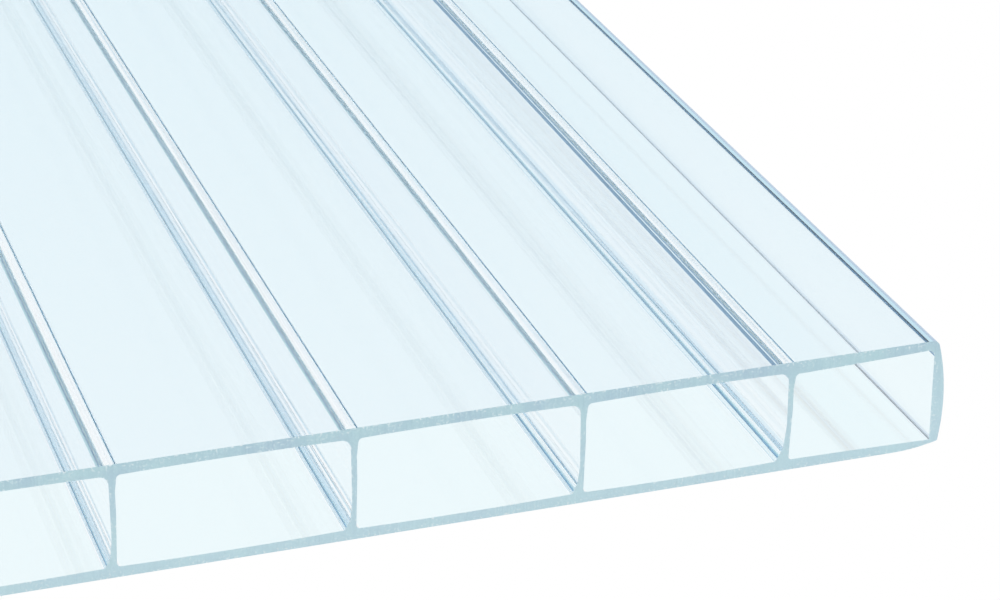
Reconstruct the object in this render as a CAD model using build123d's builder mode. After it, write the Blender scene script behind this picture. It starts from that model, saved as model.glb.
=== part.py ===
from build123d import *
from typing import NamedTuple
import os

# Twin-wall acrylic glazing sheet: two clear skins joined by upright webs, extruded in one piece.
# Millimetres. X runs across the sheet, Y along the extrusion and Z up.
# The origin is the middle of the underside.

# The sheet as sold
sheet_length = 2000.0
sheet_width = 980.0  # over the crowns of the two side walls
sheet_thickness = 16.0

# Skins
top_skin = 1.40  # halfway between two webs
bottom_skin = 1.34  # halfway between two webs
skin_swell = 0.16  # how much thicker a skin is where it meets a web

# Spacing of the webs, from a side wall inwards
nominal_pitch = 32.0  # the real pitch is the nearest to this that divides the width
edge_cell = 22.5  # from the crown of the side wall to the middle of the first web
neck_in = 2.1  # how much the next cell falls short of the pitch
edge_fade = 0.18  # the share of the first web's neck-in, sweep and extra gusset that each further web has

# Webs. Their outer face looks towards the side wall, their inner face towards the middle of the sheet.
web_thickness = 0.76
web_waist = 0.26  # how much thinner a web is at its foot, all of it on the outer face
web_sweep = 0.10  # how much further the first web's outer face leans in at its foot
knee_height = 9.0  # where the outer face turns upright
knee_radius = 12.0
taper_height = 12.0  # where the outer face starts to flare into the top skin
taper_radius = 4.0
head_taper = 0.30  # how far it flares
outer_head_radius = 0.60
outer_foot_radius = 0.50
inner_head_radius = 1.25

# Gussets that brace the webs' feet on the inner face. Each slopes up from its toe to a step, and more
# steeply from there to its shin, where it meets the web.
gusset_run = 1.05  # from the web out to the toe
gusset_rise = 3.80  # from the floor up to the shin
step_run = 0.30  # from the web out to the step
step_rise = 1.40  # from the floor up to the step
edge_gusset = 1.4  # the first web's gusset as a multiple of the others
toe_radius = 0.45
step_radius = 0.6
shin_radius = 4.0

# Side walls
side_wall = 1.75  # at the crown
crown_drop = 0.9  # how far the crown lies below the middle of the thickness
head_inset = 1.25  # from the crown in to the upper corner, before it is rounded
heel_inset = 0.55  # from the crown in to the lower corner
head_round = 1.1  # outside the upper corner
heel_round = 0.2  # outside the lower corner
side_head_radius = 0.95  # inside the upper corner
side_foot_radius = 0.25  # inside the lower corner
lip_run = 6.7  # from the lower corner in to where the underside is flat
lip_rise = 0.85  # height of the lower corner

# Edge cells, where the skins thin out towards the side wall
side_top_skin = 1.30  # at the side wall
side_floor = 1.15  # height of the floor at the side wall
edge_top_skin = 1.85  # at the first web
edge_bow = 0.05  # how far the floor and the roof bow into the cell

half_width = sheet_width / 2
cells_each_side = round((half_width - edge_cell) / nominal_pitch)
all_neck_in = sum(neck_in * edge_fade**n for n in range(cells_each_side))
pitch = (half_width - edge_cell + all_neck_in) / cells_each_side
floor_height = bottom_skin + skin_swell
roof_height = sheet_thickness - top_skin - skin_swell


class Corner(NamedTuple):
    """A corner of a cell and the radius that rounds it."""

    x: float
    z: float
    radius: float


def web_middle(number):
    """X of a web's middle. Web 0 is the outermost, and the last stands in the middle of the sheet."""
    narrowed = sum(neck_in * edge_fade**n for n in range(number))
    return half_width - edge_cell - (number * pitch - narrowed)


def edge_share(number):
    """How much of the first web's special form a web has. The middle web has none."""
    return 0.0 if number == cells_each_side else edge_fade**number


def outer_face(number, roof):
    """The corners up the outer face of a web, from the floor to the roof."""
    face = web_middle(number) + web_thickness / 2
    foot = face - web_waist - web_sweep * edge_share(number)
    return [
        Corner(foot, floor_height, outer_foot_radius),
        Corner(face, knee_height, knee_radius),
        Corner(face, taper_height, taper_radius),
        Corner(face + head_taper, roof, outer_head_radius),
    ]


def inner_face(number):
    """The corners up the inner face of a web, from the toe of its gusset to the roof."""
    face = web_middle(number) - web_thickness / 2
    growth = 1 + (edge_gusset - 1) * edge_share(number)
    return [
        Corner(face - gusset_run * growth, floor_height, toe_radius),
        Corner(face - step_run * growth, floor_height + step_rise * growth, step_radius),
        Corner(face, floor_height + gusset_rise * growth, shin_radius),
        Corner(face, roof_height, inner_head_radius),
    ]


def side_wall_face():
    """The corners up the inner face of a side wall."""
    wall_x = half_width - side_wall
    return [
        Corner(wall_x, side_floor, side_foot_radius),
        Corner(wall_x, sheet_thickness - side_top_skin, side_head_radius),
    ]


def middle_of(start, end, lift):
    """The point halfway between two corners, raised by lift."""
    return ((start.x + end.x) / 2, (start.z + end.z) / 2 + lift)


def cell_opening(left, right, bow):
    """The air space between two wall faces. bow is how far its floor and roof bow into it."""
    with BuildSketch() as opening:
        with BuildLine():
            ThreePointArc(left[0][:2], middle_of(left[0], right[0], bow), right[0][:2])
            Polyline(*[corner[:2] for corner in right])
            ThreePointArc(right[-1][:2], middle_of(right[-1], left[-1], -bow), left[-1][:2])
            Polyline(*[corner[:2] for corner in reversed(left)])
        make_face()
        for corner in (*left, *right):
            fillet(opening.vertices().sort_by_distance(corner[:2])[0], corner.radius)
    return opening.sketch


edge_opening = cell_opening(outer_face(0, sheet_thickness - edge_top_skin), side_wall_face(), edge_bow)
inner_openings = [
    cell_opening(outer_face(number + 1, roof_height), inner_face(number), -skin_swell)
    for number in range(cells_each_side)
]

with BuildPart() as sheet:
    with BuildSketch(Plane.XZ) as section:
        crown = (half_width, sheet_thickness / 2 - crown_drop)
        head = (half_width - head_inset, sheet_thickness)
        heel = (half_width - heel_inset, lip_rise)
        with BuildLine():
            underside = Line((0, 0), (heel[0] - lip_run, 0))
            TangentArc(underside @ 1, heel, tangent=underside % 1)
            TangentArc(crown, heel, tangent=(0, -1))
            TangentArc(crown, head, tangent=(0, 1))
            Polyline(head, (0, sheet_thickness), (0, 0))
        make_face()
        for corner, radius in ((head, head_round), (heel, heel_round)):
            fillet(section.vertices().sort_by_distance(corner)[0], radius)
        add([edge_opening, *inner_openings], mode=Mode.SUBTRACT)
        mirror(about=Plane.YZ)
    extrude(amount=sheet_length / 2, both=True)

sheet.part.label = "twin_wall_sheet"
os.makedirs("parts", exist_ok=True)
export_step(sheet.part, "parts/twin_wall_sheet.step")
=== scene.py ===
import math

import bpy
import numpy as np
from mathutils import Matrix, Vector
from mathutils.geometry import delaunay_2d_cdt

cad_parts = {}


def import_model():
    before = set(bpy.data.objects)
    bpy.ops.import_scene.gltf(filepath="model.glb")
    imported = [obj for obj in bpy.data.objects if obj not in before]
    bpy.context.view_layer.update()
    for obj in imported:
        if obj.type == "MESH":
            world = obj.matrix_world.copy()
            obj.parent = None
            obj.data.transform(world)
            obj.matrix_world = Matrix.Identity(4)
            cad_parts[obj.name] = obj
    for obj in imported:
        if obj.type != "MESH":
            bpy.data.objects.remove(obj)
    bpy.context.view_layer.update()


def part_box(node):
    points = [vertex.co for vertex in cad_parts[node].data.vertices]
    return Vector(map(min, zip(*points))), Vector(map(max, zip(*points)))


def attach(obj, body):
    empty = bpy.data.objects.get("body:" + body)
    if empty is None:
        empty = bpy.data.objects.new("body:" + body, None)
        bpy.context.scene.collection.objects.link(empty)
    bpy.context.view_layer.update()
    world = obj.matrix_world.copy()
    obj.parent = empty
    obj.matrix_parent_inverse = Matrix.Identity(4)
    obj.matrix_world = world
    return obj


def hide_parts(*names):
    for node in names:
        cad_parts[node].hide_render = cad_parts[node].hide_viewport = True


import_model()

# A clear twin-wall acrylic sheet, dressed for looks. The section is drawn in millimetres, as X across
# the sheet and Z up, and becomes metres when it is extruded along Y.
NODE = "twin_wall_sheet"
MM = 0.001
low, high = (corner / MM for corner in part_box(NODE))
HALF_WIDTH = (high.x - low.x) / 2
THICKNESS = high.z - low.z
LENGTH = high.y - low.y

# Skins, as in the solid
TOP_SKIN = 1.40
BOTTOM_SKIN = 1.34
SKIN_SWELL = 0.16

# Spacing of the webs, as in the solid
NOMINAL_PITCH = 32.0
EDGE_CELL = 22.5
NECK_IN = 2.1
EDGE_FADE = 0.18

# Webs and their gussets, as in the solid
WEB_THICKNESS = 0.76
WEB_WAIST = 0.26
WEB_SWEEP = 0.10
KNEE_HEIGHT = 9.0
KNEE_RADIUS = 12.0
TAPER_HEIGHT = 12.0
TAPER_RADIUS = 4.0
HEAD_TAPER = 0.30
OUTER_HEAD_RADIUS = 0.60
OUTER_FOOT_RADIUS = 0.50
INNER_HEAD_RADIUS = 1.25
GUSSET_RUN = 1.05
GUSSET_RISE = 3.80
STEP_RUN = 0.30
STEP_RISE = 1.40
EDGE_GUSSET = 1.4
TOE_RADIUS = 0.45
STEP_RADIUS = 0.6
SHIN_RADIUS = 4.0

# Side walls and edge cells, as in the solid
SIDE_WALL = 1.75
CROWN_DROP = 0.9
HEAD_INSET = 1.25
HEEL_INSET = 0.55
HEAD_ROUND = 1.1
HEEL_ROUND = 0.2
SIDE_HEAD_RADIUS = 0.95
SIDE_FOOT_RADIUS = 0.25
LIP_RUN = 6.7
LIP_RISE = 0.85
SIDE_TOP_SKIN = 1.30
SIDE_FLOOR = 1.15
EDGE_TOP_SKIN = 1.85
EDGE_BOW = 0.05

# How finely the shapes are divided
SKIN_STEPS = 256
BOW_STEPS = 12  # floor or roof of a cell
LIP_STEPS = 10
LOW_WALL_STEPS = 8  # side wall, below its crown
HIGH_WALL_STEPS = 10
RUN_STEPS = 2  # short straight runs
LENGTH_STEPS = 6

# Material slots of the sheet, one for each strip of the outline. Besides the clear acrylic, its sawn cut, the
# outer faces of the side walls and the floors and faces of the cells, they are painted shade: tinted or
# opaque strips for the dark and pale lines that the fillets' refraction makes
CLEAR, SAWN, SLATE_SHADE, BLUE_SHADE, NAVY_SHADE, PALE_SHADE, SHORE_SHADE, DUSK_SHADE, SHADE, SATIN, ROUND_SHADE, EDGE_SHADE, FLOORS, FACES = range(14)

# Slots round the fillets, one for each step. The tinted and opaque ones are painted shade, for the lines that
# the fillets' refraction makes
ROUND_LINES = [ROUND_SHADE] * 8  # outside corners
OUTER_HEAD_LINES = [FACES] * 3 + [SLATE_SHADE] * 2 + [FACES] * 3  # from the wall to the roof
HEAD_LINES = [PALE_SHADE, PALE_SHADE, DUSK_SHADE, PALE_SHADE, PALE_SHADE, SLATE_SHADE, PALE_SHADE, PALE_SHADE] + [FACES] * 4  # from the roof to the wall
FIRST_HEAD_LINES = [DUSK_SHADE, SLATE_SHADE, PALE_SHADE, PALE_SHADE, PALE_SHADE, SLATE_SHADE, SLATE_SHADE] + [FACES] * 5
SIDE_HEAD_LINES = [SLATE_SHADE, DUSK_SHADE, DUSK_SHADE, NAVY_SHADE, NAVY_SHADE, NAVY_SHADE, NAVY_SHADE] + [DUSK_SHADE] * 5

# Slots up the lower slope of a gusset, each with the share of the slope at which it starts. All but the clear
# one are painted shade, for the lines and bands that the gusset's refraction makes
GUSSET_LINES = [(0.24, DUSK_SHADE), (0.29, SLATE_SHADE), (0.38, PALE_SHADE), (0.46, BLUE_SHADE), (0.83, SHORE_SHADE)]
OUTER_GUSSET_LINES = [(0.24, DUSK_SHADE), (0.29, SLATE_SHADE), (0.38, PALE_SHADE), (0.46, CLEAR), (0.83, SHORE_SHADE)]
OUTER_GUSSETS = 2  # how many webs on each side have the second list
SHORE_END = 0.20  # the share of the upper slope where the last of them ends

# How far before the head of the first web the roof takes each band of painted shade
FIRST_ROOF_SHADE = [(0.78, DUSK_SHADE), (0.18, BLUE_SHADE)]
# Two bands of painted shade: one tints the foot of the side wall, one tints the top beside each rounded upper
# corner
SIDE_FOOT_SHADE = 0.75  # how far up the side wall its foot looks tinted
EDGE_SHADE_RUN = 0.28  # how far the top's tinted band reaches in from the rounded upper corner
RIM = 0.24  # the band beside a cut edge where the saw left chips

# Materials
ACRYLIC_INDEX = 1.49
SATIN_INDEX = 1.05  # keeps light from being trapped in the side walls
INSIDE_COLOUR = (0.8, 0.9, 0.95)
INSIDE_DENSITY = 3.0
FROST_DEEP = (0.42, 0.59, 0.70)
FROST = (0.46, 0.67, 0.73)
FROST_SCORED = (0.54, 0.74, 0.80)
# Painted light: the sawn cut is made lighter towards the underside
PAINTED_LIGHT_LOW = (0.66, 0.86, 0.92)  # mixed in towards the underside
PAINTED_LIGHT_LOW_SHARE = 0.5
CHIPS = (0.80, 0.91, 0.94)
WHITE = (1.0, 1.0, 1.0)
SKY = (0.66, 0.85, 0.94)
SKY_BANDS = [(-90, WHITE), (6, WHITE), (16, SKY), (36, SKY), (50, WHITE)]  # elevation in degrees
FLOOR_ALBEDO = 0.9
FLOOR_GAP = 0.0002  # keeps the floor clear of the underside, in metres
LIGHT_BOUNCES = 256

# Camera, in metres and degrees, with its lens in millimetres
EYE = (0.31016, -1.34742, 0.20217)
HEADING = -18.56
DOWNWARD = 25.03
ROLL = 0.11
LENS = 115.36

CELLS_EACH_SIDE = round((HALF_WIDTH - EDGE_CELL) / NOMINAL_PITCH)
ALL_NECK_IN = sum(NECK_IN * EDGE_FADE**n for n in range(CELLS_EACH_SIDE))
PITCH = (HALF_WIDTH - EDGE_CELL + ALL_NECK_IN) / CELLS_EACH_SIDE
FLOOR = BOTTOM_SKIN + SKIN_SWELL
ROOF = THICKNESS - TOP_SKIN - SKIN_SWELL


def web_middle(number):
    narrowed = sum(NECK_IN * EDGE_FADE**n for n in range(number))
    return HALF_WIDTH - EDGE_CELL - (number * PITCH - narrowed)


def unit(x, z):
    size = math.hypot(x, z)
    return (x / size, z / size)


def between(start, end, share):
    return (start[0] + (end[0] - start[0]) * share, start[1] + (end[1] - start[1]) * share)


def straight(start, end, steps):
    """Points along a straight run with the normal to its right, ends included."""
    along = unit(end[0] - start[0], end[1] - start[1])
    normal = (along[1], -along[0])
    return [
        (*between(start, end, k / steps), *normal)
        for k in range(steps + 1)
    ]


def bowed(start, end, rise, shares):
    """Points at the given shares of an arc that rises to the right of its chord, with their normals."""
    chord = math.hypot(end[0] - start[0], end[1] - start[1])
    along = unit(end[0] - start[0], end[1] - start[1])
    right = (along[1], -along[0])
    radius = (chord**2 / 4 + rise**2) / (2 * rise)
    half_angle = math.asin(min(1.0, chord / 2 / abs(radius)))
    run = []
    for share in shares:
        angle = (2 * share - 1) * half_angle
        forward = abs(radius) * math.sin(angle)
        out = radius * math.cos(angle) - (radius - rise)
        tilt = math.copysign(1.0, rise) * math.sin(angle)
        run.append((
            (start[0] + end[0]) / 2 + along[0] * forward + right[0] * out,
            (start[1] + end[1]) / 2 + along[1] * forward + right[1] * out,
            right[0] * math.cos(angle) + along[0] * tilt,
            right[1] * math.cos(angle) + along[1] * tilt,
        ))
    return run


def corner(before, after, radius, steps):
    """Rounds the corner between two runs. Returns the shortened runs and the fillet's points."""
    at = before[-1][:2]
    n_in, n_out = before[-1][2:4], after[0][2:4]
    d_in, d_out = (-n_in[1], n_in[0]), (-n_out[1], n_out[0])
    turn = math.atan2(d_in[0] * d_out[1] - d_in[1] * d_out[0], d_in[0] * d_out[0] + d_in[1] * d_out[1])
    back = radius * math.tan(abs(turn) / 2)
    side = math.copysign(1.0, turn)
    start = (at[0] - d_in[0] * back, at[1] - d_in[1] * back)
    centre = (start[0] - n_in[0] * radius * side, start[1] - n_in[1] * radius * side)
    fillet = []
    for k in range(steps + 1):
        angle = turn * k / steps
        nx = n_in[0] * math.cos(angle) - n_in[1] * math.sin(angle)
        nz = n_in[0] * math.sin(angle) + n_in[1] * math.cos(angle)
        fillet.append((centre[0] + nx * radius * side, centre[1] + nz * radius * side, nx, nz))

    def clear(point):
        return math.hypot(point[0] - at[0], point[1] - at[1]) > back * 1.02

    return [p for p in before if clear(p)], fillet, [p for p in after if clear(p)]


def toned(line, tone):
    """Gives each point of a line the finish of the strip that starts there."""
    return [(*point, tone) for point in line]


def rounded_loop(lines, joints):
    """Joins finished lines into a closed loop. Each joint is (radius, finishes): the radius rounds the corner
    after its line, with one step for each finish, and 0 marks a smooth joint."""
    lines = list(lines)
    starts = [line[0][4] for line in lines]
    fillets = []
    for k, (radius, tones) in enumerate(joints):
        following = (k + 1) % len(lines)
        fillet = []
        if radius:
            lines[k], fillet, lines[following] = corner(lines[k], lines[following], radius, len(tones))
        else:
            lines[k] = lines[k][:-1]
        fillets.append(fillet)
    loop = []
    for k, (line, fillet) in enumerate(zip(lines, fillets)):
        loop += line
        loop += [(*point, tone) for point, tone in zip(fillet, joints[k][1])]
        if fillet:
            loop.append((*fillet[-1], starts[(k + 1) % len(lines)]))
    return loop


def tangent_bow(start, end, direction, steps):
    """An arc that turns left from start to end, with the given direction at one of them."""
    along = unit(end[0] - start[0], end[1] - start[1])
    half_turn = math.acos(max(-1.0, min(1.0, along[0] * direction[0] + along[1] * direction[1])))
    chord = math.hypot(end[0] - start[0], end[1] - start[1])
    return bowed(start, end, chord / 2 * math.tan(half_turn / 2), [k / steps for k in range(steps + 1)])


def mirrored(run):
    """The same run on the other half of the section, in the order in which the outline passes it."""
    return [(-x, z, -nx, nz) for x, z, nx, nz in reversed(run)]


def mirrored_loop(loop):
    """A loop on the other half of the section. A strip's finish moves to the strip's other end."""
    return [
        (-loop[k][0], loop[k][1], -loop[k][2], loop[k][3], loop[k - 1][4])
        for k in range(len(loop) - 1, -1, -1)
    ]


def outer_outline():
    """The outline of the whole sheet, from the left end of the flat underside to the right and round."""
    heel = (HALF_WIDTH - HEEL_INSET, LIP_RISE)
    crown = (HALF_WIDTH, THICKNESS / 2 - CROWN_DROP)
    head = (HALF_WIDTH - HEAD_INSET, THICKNESS)
    flat_end = (heel[0] - LIP_RUN, 0.0)
    inner_end = HALF_WIDTH - HEAD_INSET - HEAD_ROUND - EDGE_SHADE_RUN
    lip = tangent_bow(flat_end, heel, (1.0, 0.0), LIP_STEPS)
    wall_low = tangent_bow(heel, crown, (0.0, 1.0), LOW_WALL_STEPS)
    wall_high = tangent_bow(crown, head, (0.0, 1.0), HIGH_WALL_STEPS)
    lines = [
        straight((-flat_end[0], 0.0), flat_end, SKIN_STEPS),
        lip,
        wall_low,
        wall_high,
        straight(head, (inner_end, THICKNESS), RUN_STEPS),
        straight((inner_end, THICKNESS), (-inner_end, THICKNESS), SKIN_STEPS),
        straight((-inner_end, THICKNESS), (-head[0], THICKNESS), RUN_STEPS),
        mirrored(wall_high),
        mirrored(wall_low),
        mirrored(lip),
    ]
    # The top's bands beside its rounded corners and the rounds at the heels and heads are painted shade
    tones = [CLEAR, CLEAR, SATIN, SATIN, EDGE_SHADE, FACES, EDGE_SHADE, SATIN, SATIN, CLEAR]
    radii = [0.0, HEEL_ROUND, 0.0, HEAD_ROUND, 0.0, 0.0, HEAD_ROUND, 0.0, HEEL_ROUND, 0.0]
    return rounded_loop(
        [toned(line, tone) for line, tone in zip(lines, tones)],
        [(radius, ROUND_LINES) for radius in radii],
    )


def cell_outline(inner_wall, outer_wall, floor_bow, roof_bow, roof_shade):
    """A cell's outline from its two walls. Each wall is a list of corners from the floor to the roof:
    (x, z, radius, finishes of the fillet, finish of the run above it)."""
    inner_foot, inner_head = inner_wall[0], inner_wall[-1]
    outer_foot, outer_head = outer_wall[0], outer_wall[-1]
    even = [k / BOW_STEPS for k in range(BOW_STEPS + 1)]
    width = outer_head[0] - inner_head[0]
    bands = [(1 - (outer_head[2] + back) / width, tone) for back, tone in roof_shade]
    steps = sorted(even + [start for start, tone in bands])
    roof, tone = [], FACES
    for step, point in zip(steps, bowed(inner_head[:2], outer_head[:2], roof_bow, steps)):
        tone = next((band for start, band in bands if start == step), tone)
        roof += toned([point], tone)
    lines = [roof]
    joints = [outer_head[2:4]]
    for upper, lower in zip(outer_wall[:0:-1], outer_wall[-2::-1]):
        lines.append(toned(straight(upper[:2], lower[:2], RUN_STEPS), lower[4]))
        joints.append(lower[2:4])
    lines.append(toned(bowed(outer_foot[:2], inner_foot[:2], floor_bow, even), FLOORS))
    joints.append(inner_foot[2:4])
    for lower, upper in zip(inner_wall, inner_wall[1:]):
        lines.append(toned(straight(lower[:2], upper[:2], RUN_STEPS), lower[4]))
        joints.append(upper[2:4])
    return rounded_loop(lines, joints)


def edge_share(number):
    """How much of the first web's special form a web has. The middle web has none."""
    return 0.0 if number == CELLS_EACH_SIDE else EDGE_FADE**number


def outer_face(number, roof):
    """The face of a web towards the side wall, from the floor to the roof."""
    face = WEB_MIDDLES[number] + WEB_THICKNESS / 2
    foot = face - WEB_WAIST - WEB_SWEEP * edge_share(number)
    return [
        (foot, FLOOR, OUTER_FOOT_RADIUS, [CLEAR] * 8, FACES),
        (face, KNEE_HEIGHT, KNEE_RADIUS, [FACES] * 3, FACES),
        (face, TAPER_HEIGHT, TAPER_RADIUS, [FACES] * 3, FACES),
        # The fillet at the head takes painted shade lines
        (face + HEAD_TAPER, roof, OUTER_HEAD_RADIUS, OUTER_HEAD_LINES, FACES),
    ]


def inner_face(number):
    """The face of a web towards the middle of the sheet, from the toe of its gusset to the roof."""
    face = WEB_MIDDLES[number] - WEB_THICKNESS / 2
    growth = 1 + (EDGE_GUSSET - 1) * edge_share(number)
    toe = (face - GUSSET_RUN * growth, FLOOR)
    step = (face - STEP_RUN * growth, FLOOR + STEP_RISE * growth)
    shin = (face, FLOOR + GUSSET_RISE * growth)
    lines = OUTER_GUSSET_LINES if number < OUTER_GUSSETS else GUSSET_LINES
    return [
        (*toe, TOE_RADIUS, [CLEAR] * 8, CLEAR),
        # Painted shade up the gusset's slope, round its step and at the head
        *((*between(toe, step, share), 0.0, [], tone) for share, tone in lines),
        (*step, STEP_RADIUS, [SHORE_SHADE] * 2, SHORE_SHADE),
        (*between(step, shin, SHORE_END), 0.0, [], FACES),
        (*shin, SHIN_RADIUS, [FACES] * 2, FACES),
        (face, ROOF, INNER_HEAD_RADIUS, HEAD_LINES if number else FIRST_HEAD_LINES, FACES),
    ]


def side_wall_face():
    """The inner face of a side wall, from the floor to the roof."""
    wall_x = HALF_WIDTH - SIDE_WALL
    return [
        # Painted shade: the foot's fillet and the wall up to the band's height are tinted, and the fillet at
        # the head takes dark lines
        (wall_x, SIDE_FLOOR, SIDE_FOOT_RADIUS, [BLUE_SHADE] * 4, SHADE),
        (wall_x, SIDE_FLOOR + SIDE_FOOT_SHADE, 0.0, [], FLOORS),
        (wall_x, THICKNESS - SIDE_TOP_SKIN, SIDE_HEAD_RADIUS, SIDE_HEAD_LINES, CLEAR),
    ]


def cell_outlines():
    """The cells of the right half, then of the left."""
    first_head = outer_face(0, THICKNESS - EDGE_TOP_SKIN)
    cells = [cell_outline(first_head, side_wall_face(), EDGE_BOW, EDGE_BOW, [])]
    for number in range(CELLS_EACH_SIDE):
        cells.append(cell_outline(
            outer_face(number + 1, ROOF), inner_face(number), -SKIN_SWELL, -SKIN_SWELL,
            [] if number else FIRST_ROOF_SHADE,
        ))
    return cells + [mirrored_loop(cell) for cell in cells]


WEB_MIDDLES = [web_middle(number) for number in range(CELLS_EACH_SIDE + 1)]


def ring_edges(start, count):
    return [(start + k, start + (k + 1) % count) for k in range(count)]


def cut_face(loops):
    """Triangles over the acrylic of the section, with corners on its edges and a rim's width inside."""
    points, edges, owners = [], [], []
    for number, loop in enumerate(loops):
        edges += ring_edges(len(points), len(loop))
        points += [(x, z) for x, z, *_ in loop]
        owners += [number] * len(loop)
    for loop in loops:
        points += [(x - nx * RIM, z - nz * RIM) for x, z, nx, nz, _ in loop]
        owners += [-1] * len(loop)
    _, _, tris, origin, _, _ = delaunay_2d_cdt([Vector(p) for p in points], edges, [], 1, 1e-6)
    index = [o[0] for o in origin]
    kept = []
    for tri in tris:
        mine = [index[t] for t in tri]
        held = {owners[m] for m in mine}
        if len(held) == 1 and held.pop() > 0:
            continue
        (x0, z0), (x1, z1), (x2, z2) = (points[m] for m in mine)
        if (x1 - x0) * (z2 - z0) - (x2 - x0) * (z1 - z0) < 0:
            mine.reverse()
        kept.append(mine)
    return points, kept


def extruded_sheet():
    """The sheet as one mesh: strips along the outline and a cut face at each end."""
    loops = [outer_outline(), *cell_outlines()]
    places = [LENGTH * (k / LENGTH_STEPS - 0.5) for k in range(LENGTH_STEPS + 1)]
    points = [p for loop in loops for p in loop]
    count = len(points)
    starts = np.cumsum([0] + [len(loop) for loop in loops])
    verts = [(x * MM, y * MM, z * MM) for y in places for x, z, *_ in points]
    faces, normals, slots = [], [], []
    for j in range(len(places) - 1):
        near, far = j * count, (j + 1) * count
        for loop, start in zip(loops, starts):
            for a, b in ring_edges(start, len(loop)):
                faces.append((near + a, far + a, far + b, near + b))
                na, nb = points[a][2:4], points[b][2:4]
                normals += [(na[0], 0, na[1]), (na[0], 0, na[1]), (nb[0], 0, nb[1]), (nb[0], 0, nb[1])]
                slots.append(points[a][4])
    flat, tris = cut_face(loops)
    extra = len(flat) - count
    last = (len(places) - 1) * count
    total = len(verts)
    rim_values = [1.0] * total + [0.0] * extra * 2
    for end, y in enumerate((places[0], places[-1])):
        verts += [(x * MM, y * MM, z * MM) for x, z in flat[count:]]
        first = total + end * extra
        row = last * end
        for tri in tris:
            mine = [row + m if m < count else first + m - count for m in tri]
            faces.append(tuple(reversed(mine)) if end else tuple(mine))
            normals += [(0, 2 * end - 1, 0)] * 3
            slots.append(SAWN)
    mesh = bpy.data.meshes.new("sheet")
    mesh.from_pydata(verts, [], faces)
    mesh.polygons.foreach_set("use_smooth", [True] * len(faces))
    mesh.polygons.foreach_set("material_index", slots)
    rim = mesh.attributes.new("rim", "FLOAT", "POINT")
    rim.data.foreach_set("value", rim_values)
    mesh.normals_split_custom_set(normals)
    mesh.update()
    piece = bpy.data.objects.new("clear_sheet", mesh)
    bpy.context.scene.collection.objects.link(piece)
    return piece


def acrylic(name, colour, clearness=1.0, roughness=0.0, index=ACRYLIC_INDEX):
    """Clear acrylic. A line where the fillets bend the light away is painted with it: a strip tinted deeper,
    rougher or opaque, which is painted shade.
    """
    mat = bpy.data.materials.new(name)
    mat.use_nodes = True
    nt = mat.node_tree
    shader = nt.nodes["Principled BSDF"]
    shader.inputs["Base Color"].default_value = (*colour, 1)
    shader.inputs["Roughness"].default_value = roughness
    shader.inputs["IOR"].default_value = index
    shader.inputs["Transmission Weight"].default_value = clearness
    absorb = nt.nodes.new("ShaderNodeVolumeAbsorption")
    absorb.inputs["Color"].default_value = (*INSIDE_COLOUR, 1)
    absorb.inputs["Density"].default_value = INSIDE_DENSITY
    nt.links.new(absorb.outputs[0], nt.nodes["Material Output"].inputs["Volume"])
    return mat


def mixed(nt, factor, low_colour, high_colour):
    """A mix of two colours, each of them a constant or the output of a node."""
    mix = nt.nodes.new("ShaderNodeMix")
    mix.data_type = "RGBA"
    nt.links.new(factor, mix.inputs["Factor"])
    for socket, value in ((mix.inputs[6], low_colour), (mix.inputs[7], high_colour)):
        if isinstance(value, tuple):
            socket.default_value = (*value, 1)
        else:
            nt.links.new(value, socket)
    return mix.outputs[2]


def noise(nt, coordinates, scale, detail, low_edge, high_edge, stretch=(1, 1, 1)):
    """Noise between 0 and 1, spread so that low_edge and high_edge become 0 and 1."""
    mapping = nt.nodes.new("ShaderNodeMapping")
    mapping.inputs["Scale"].default_value = stretch
    nt.links.new(coordinates, mapping.inputs["Vector"])
    texture = nt.nodes.new("ShaderNodeTexNoise")
    texture.inputs["Scale"].default_value = scale
    texture.inputs["Detail"].default_value = detail
    nt.links.new(mapping.outputs[0], texture.inputs["Vector"])
    spread = nt.nodes.new("ShaderNodeMapRange")
    spread.inputs["From Min"].default_value = low_edge
    spread.inputs["From Max"].default_value = high_edge
    nt.links.new(texture.outputs[0], spread.inputs["Value"])
    return spread.outputs[0]


def product(nt, first, second):
    node = nt.nodes.new("ShaderNodeMath")
    node.operation = "MULTIPLY"
    nt.links.new(first, node.inputs[0])
    nt.links.new(second, node.inputs[1])
    return node.outputs[0]


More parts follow.
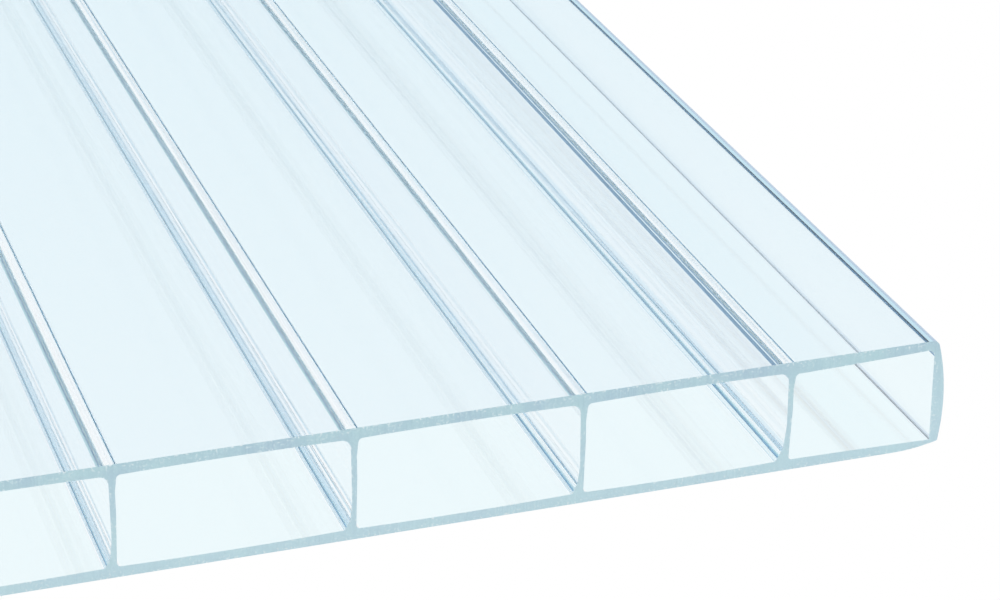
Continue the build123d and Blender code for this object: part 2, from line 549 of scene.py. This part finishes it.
def sawn_acrylic():
    """The frosted cut: mottled, faintly scored by the blade, with chips along the edges, and painted light
    that makes it lighter towards the underside.
    """
    mat = bpy.data.materials.new("sawn_acrylic")
    mat.use_nodes = True
    nt = mat.node_tree
    shader = nt.nodes["Principled BSDF"]
    place = nt.nodes.new("ShaderNodeTexCoord").outputs["Object"]
    cloud = noise(nt, place, 150, 3, 0.35, 0.65)
    grain = noise(nt, place, 3200, 2, 0.35, 0.7)
    score = noise(nt, place, 1500, 2, 0.35, 0.7, stretch=(1, 1, 0.06))
    body = mixed(nt, cloud, FROST_DEEP, FROST)
    body = mixed(nt, product(nt, grain, score), body, FROST_SCORED)
    # Painted light, lighter towards the underside
    split = nt.nodes.new("ShaderNodeSeparateXYZ")
    nt.links.new(place, split.inputs[0])
    painted_light_low = nt.nodes.new("ShaderNodeMapRange")
    painted_light_low.inputs["From Max"].default_value = THICKNESS * MM
    painted_light_low.inputs["To Min"].default_value = PAINTED_LIGHT_LOW_SHARE
    painted_light_low.inputs["To Max"].default_value = 0.0
    nt.links.new(split.outputs["Z"], painted_light_low.inputs["Value"])
    body = mixed(nt, painted_light_low.outputs[0], body, PAINTED_LIGHT_LOW)
    rim = nt.nodes.new("ShaderNodeAttribute")
    rim.attribute_name = "rim"
    chips = product(nt, rim.outputs["Fac"], noise(nt, place, 2800, 3, 0.54, 0.66))
    body = mixed(nt, chips, body, CHIPS)
    nt.links.new(body, shader.inputs["Base Color"])
    rough = nt.nodes.new("ShaderNodeMapRange")
    rough.inputs["To Min"].default_value = 0.45
    rough.inputs["To Max"].default_value = 0.8
    nt.links.new(grain, rough.inputs["Value"])
    nt.links.new(rough.outputs[0], shader.inputs["Roughness"])
    bump = nt.nodes.new("ShaderNodeBump")
    bump.inputs["Distance"].default_value = 0.0001
    bump.inputs["Strength"].default_value = 0.5
    nt.links.new(score, bump.inputs["Height"])
    nt.links.new(bump.outputs[0], shader.inputs["Normal"])
    return mat


def world():
    """Soft light from all sides. The sky shows only in reflections and through the acrylic."""
    made = bpy.data.worlds.new("studio")
    bpy.context.scene.world = made
    made.use_nodes = True
    nt = made.node_tree
    nt.nodes.clear()
    out = nt.nodes.new("ShaderNodeOutputWorld")
    background = nt.nodes.new("ShaderNodeBackground")
    coord = nt.nodes.new("ShaderNodeTexCoord")
    split = nt.nodes.new("ShaderNodeSeparateXYZ")
    nt.links.new(coord.outputs["Generated"], split.inputs[0])
    elevation = nt.nodes.new("ShaderNodeMath")
    elevation.operation = "ARCSINE"
    nt.links.new(split.outputs["Z"], elevation.inputs[0])
    scaled = nt.nodes.new("ShaderNodeMath")
    scaled.operation = "MULTIPLY_ADD"
    nt.links.new(elevation.outputs[0], scaled.inputs[0])
    scaled.inputs[1].default_value = 1 / math.pi
    scaled.inputs[2].default_value = 0.5
    ramp = nt.nodes.new("ShaderNodeValToRGB")
    nt.links.new(scaled.outputs[0], ramp.inputs[0])
    while len(ramp.color_ramp.elements) > 1:
        ramp.color_ramp.elements.remove(ramp.color_ramp.elements[0])
    for k, (angle, colour) in enumerate(SKY_BANDS):
        position = 0.5 + angle / 180
        stop = ramp.color_ramp.elements[0] if k == 0 else ramp.color_ramp.elements.new(position)
        stop.position = position
        stop.color = (*colour, 1)
    path = nt.nodes.new("ShaderNodeLightPath")
    sum_paths = nt.nodes.new("ShaderNodeMath")
    sum_paths.operation = "ADD"
    nt.links.new(path.outputs["Is Glossy Ray"], sum_paths.inputs[0])
    nt.links.new(path.outputs["Is Transmission Ray"], sum_paths.inputs[1])
    sum_paths.use_clamp = True
    seen = mixed(nt, sum_paths.outputs[0], WHITE, ramp.outputs[0])
    nt.links.new(seen, background.inputs["Color"])
    nt.links.new(background.outputs[0], out.inputs["Surface"])


def floor():
    """A floor that is plain white to the camera and through the acrylic, and matt to all other light."""
    bpy.ops.mesh.primitive_plane_add(size=200, location=(0, 0, -FLOOR_GAP))
    plane = bpy.context.object
    plane.name = "floor"
    mat = bpy.data.materials.new("floor")
    mat.use_nodes = True
    nt = mat.node_tree
    nt.nodes.clear()
    out = nt.nodes.new("ShaderNodeOutputMaterial")
    glow = nt.nodes.new("ShaderNodeEmission")
    glow.inputs["Color"].default_value = (*WHITE, 1)
    matt = nt.nodes.new("ShaderNodeBsdfDiffuse")
    matt.inputs["Color"].default_value = (FLOOR_ALBEDO, FLOOR_ALBEDO, FLOOR_ALBEDO, 1)
    path = nt.nodes.new("ShaderNodeLightPath")
    total = nt.nodes.new("ShaderNodeMath")
    total.operation = "ADD"
    nt.links.new(path.outputs["Is Glossy Ray"], total.inputs[0])
    nt.links.new(path.outputs["Is Transmission Ray"], total.inputs[1])
    both = nt.nodes.new("ShaderNodeMath")
    both.operation = "ADD"
    nt.links.new(total.outputs[0], both.inputs[0])
    nt.links.new(path.outputs["Is Camera Ray"], both.inputs[1])
    both.use_clamp = True
    mix = nt.nodes.new("ShaderNodeMixShader")
    nt.links.new(both.outputs[0], mix.inputs[0])
    nt.links.new(matt.outputs[0], mix.inputs[1])
    nt.links.new(glow.outputs[0], mix.inputs[2])
    nt.links.new(mix.outputs[0], out.inputs["Surface"])
    plane.data.materials.append(mat)


def camera():
    data = bpy.data.cameras.new("camera")
    data.sensor_width = 36.0
    data.lens = LENS
    data.clip_start, data.clip_end = 0.01, 200
    eye = bpy.data.objects.new("camera", data)
    bpy.context.scene.collection.objects.link(eye)
    eye.matrix_world = (
        Matrix.Translation(EYE)
        @ Matrix.Rotation(math.radians(HEADING), 4, "Z")
        @ Matrix.Rotation(math.radians(90 - DOWNWARD), 4, "X")
        @ Matrix.Rotation(math.radians(ROLL), 4, "Z")
    )
    bpy.context.scene.camera = eye


sheet = extruded_sheet()
for material in (
    acrylic("clear_acrylic", (0.945, 0.982, 0.992)),
    sawn_acrylic(),
    # The next seven are painted shade: tinted or opaque strips for the dark and pale lines that the fillets'
    # refraction makes, and for the foot of the side wall
    acrylic("slate_painted_shade", (0.30, 0.58, 0.85), 0.28, 0.1),
    acrylic("blue_painted_shade", (0.78, 0.87, 0.93)),
    acrylic("navy_painted_shade", (0.04, 0.07, 0.13), 0.0, 0.4),
    acrylic("pale_painted_shade", (0.62, 0.93, 1.0), 0.5, 0.1),
    acrylic("shore_painted_shade", (0.66, 0.79, 0.89)),
    acrylic("dusk_painted_shade", (0.26, 0.48, 0.75), 0.25, 0.3),
    acrylic("shade_band", (0.60, 0.74, 0.85)),
    acrylic("satin_side", (0.91, 0.955, 0.984), 1.0, 0.03, SATIN_INDEX),
    # The next two are painted shade too, on the rounded corners and on the top's band beside them
    acrylic("round_painted_shade", (0.45, 0.58, 0.73), 0.0, 0.35),
    acrylic("edge_painted_shade", (0.55, 0.77, 0.88), 0.0, 0.35),
    acrylic("clear_floors", (0.845, 0.970, 0.990)),
    acrylic("clear_faces", (1.0, 0.985, 0.993)),
):
    sheet.data.materials.append(material)
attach(sheet, "root")
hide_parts(NODE)
world()
floor()
camera()
scene = bpy.context.scene
scene.view_settings.view_transform = "Standard"
scene.cycles.max_bounces = LIGHT_BOUNCES
scene.cycles.transmission_bounces = LIGHT_BOUNCES
scene.cycles.glossy_bounces = LIGHT_BOUNCES
